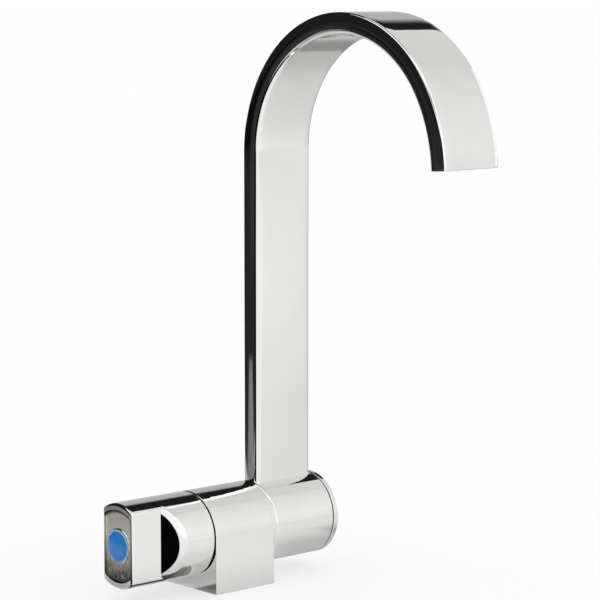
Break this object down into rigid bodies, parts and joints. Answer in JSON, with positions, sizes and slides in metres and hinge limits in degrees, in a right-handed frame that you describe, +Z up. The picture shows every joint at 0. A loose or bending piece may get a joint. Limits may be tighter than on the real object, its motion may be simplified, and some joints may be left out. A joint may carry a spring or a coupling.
{
  "type": "cold water tap",
  "caption": "Single cold water tap with a level barrel, a scooped turning knob with a blue index, and a flat ribbon spout that arches over and folds about the barrel.",
  "frame": {"origin": "centre of the block's underside, on the worktop", "axes": "+X along the barrel from the knob to the end cap, outlet towards -Y, +Z up"},
  "size_m": [0.1027, 0.1273, 0.23],
  "materials": {
    "chrome": "polished chrome plate",
    "brushed_plate": "brushed, with the grain upright",
    "blue_lens": "glossy domed blue",
    "brass": "turned",
    "ceramic": "lapped white ceramic",
    "rubber": "matte black",
    "fibre": "pressed red fibre",
    "black_plastic": "matte black",
    "steel": "stainless, satin",
    "white_plastic": "moulded white"
  },
  "bodies": {
    "base": {"tap_body": "chrome", "base_gasket": "rubber", "headwork_body": "brass", "headwork_washer": "fibre", "seat_seal": "rubber", "fixed_disc": "ceramic", "knob_guide_ring": "black_plastic", "swivel_axle": "brass", "axle_washer": "fibre", "axle_seal_rings": "rubber", "stop_pin": "steel", "disc_spring": "steel", "retaining_washer": "steel", "retaining_screw": "steel"},
    "handle": {"handle_knob": "chrome", "end_plate": "brushed_plate", "index_ring": "chrome", "index_lens": "blue_lens", "handle_screw": "steel", "spindle": "brass", "turning_disc": "ceramic", "spindle_seal_rings": "rubber", "stop_collar": "steel", "spindle_circlip": "steel"},
    "spout": {"swivel_sleeve": "chrome", "spout_tube": "chrome", "outlet_insert": "white_plastic", "near_bush": "white_plastic", "far_bush": "white_plastic", "end_cap": "chrome", "cap_seal_ring": "rubber"}
  },
  "joints": [
    {"name": "spout_fold", "type": "hinge", "parent": "base", "child": "spout", "pos_m": [0.0322, 0, 0.0225], "axis": [1, 0, 0], "range_deg": [0, 90]},
    {"name": "handle_turn", "type": "hinge", "parent": "base", "child": "handle", "pos_m": [-0.033, 0, 0.0225], "axis": [-1, 0, 0], "range_deg": [0, 90]}
  ]
}
